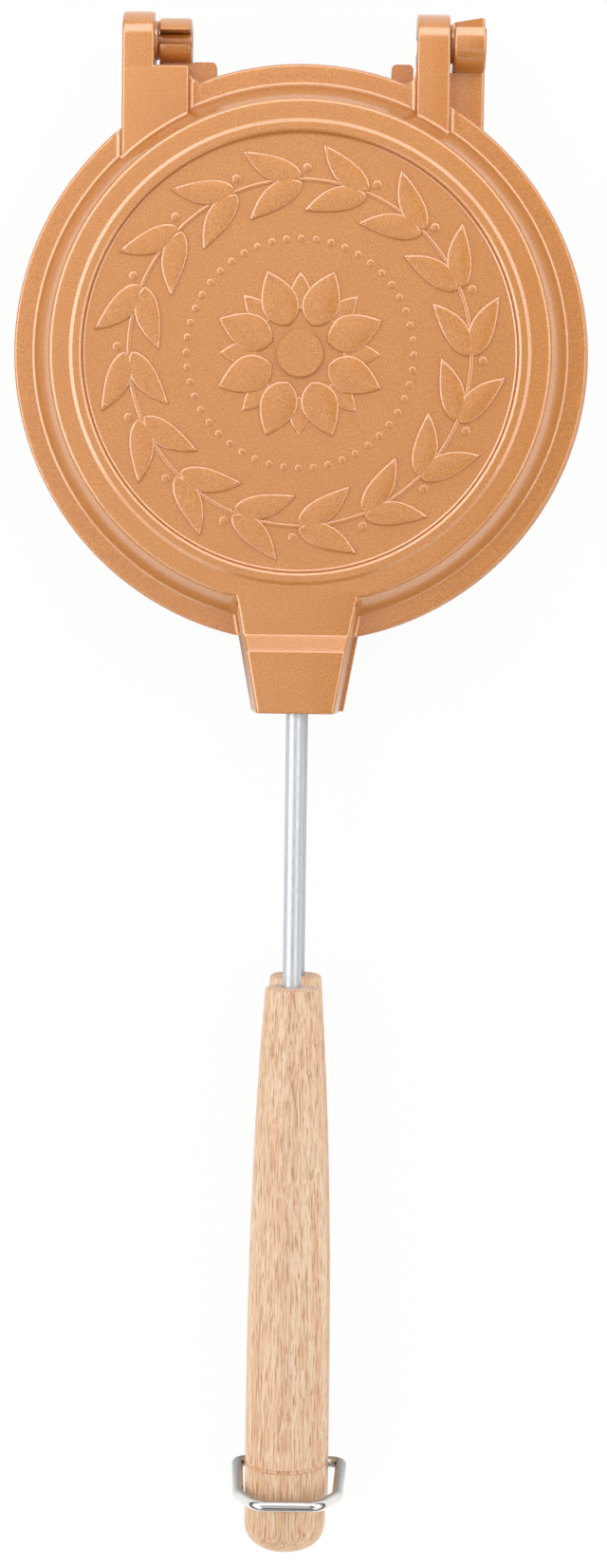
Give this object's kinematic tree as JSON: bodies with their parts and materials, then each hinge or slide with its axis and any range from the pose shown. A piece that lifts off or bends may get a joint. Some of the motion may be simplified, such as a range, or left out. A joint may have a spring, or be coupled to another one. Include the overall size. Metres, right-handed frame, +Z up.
{
  "type": "stovetop sandwich iron",
  "caption": "Hinged round sandwich iron for a hob, with shallow pans, rods, turned wooden handles and a wire bail that holds them shut.",
  "frame": {"origin": "centre of the lower pan's outer face, which lies on the burner", "axes": "+Y from the handles to the hinge, +Z up through the closed pans, +X to the right seen from the handle end"},
  "size_m": [0.1508, 0.4077, 0.0483],
  "materials": {
    "coated_casting": "copper-coloured metallic coating, satin",
    "chromed_steel": "bright",
    "plain_steel": "plain",
    "beech": "fine sanded, unvarnished"
  },
  "bodies": {
    "lower_half": {"lower_plate": "coated_casting", "lower_rod": "chromed_steel", "lower_rod_pin": "plain_steel", "lower_handle": "beech"},
    "lid": {"upper_plate": "coated_casting", "upper_rod": "chromed_steel", "upper_rod_pin": "plain_steel", "upper_handle": "beech"},
    "bail_wire": {"bail": "chromed_steel"}
  },
  "joints": [
    {"name": "lid_hinge", "type": "hinge", "parent": "lower_half", "child": "lid", "pos_m": [-0.0008, 0.0814, 0.01305], "axis": [-1, 0, 0], "range_deg": [0, 180]},
    {"name": "bail_pivot", "type": "hinge", "parent": "lower_half", "child": "bail_wire", "pos_m": [0, -0.3016, 0.00195], "axis": [1, 0, 0], "range_deg": [-15, 247]}
  ]
}
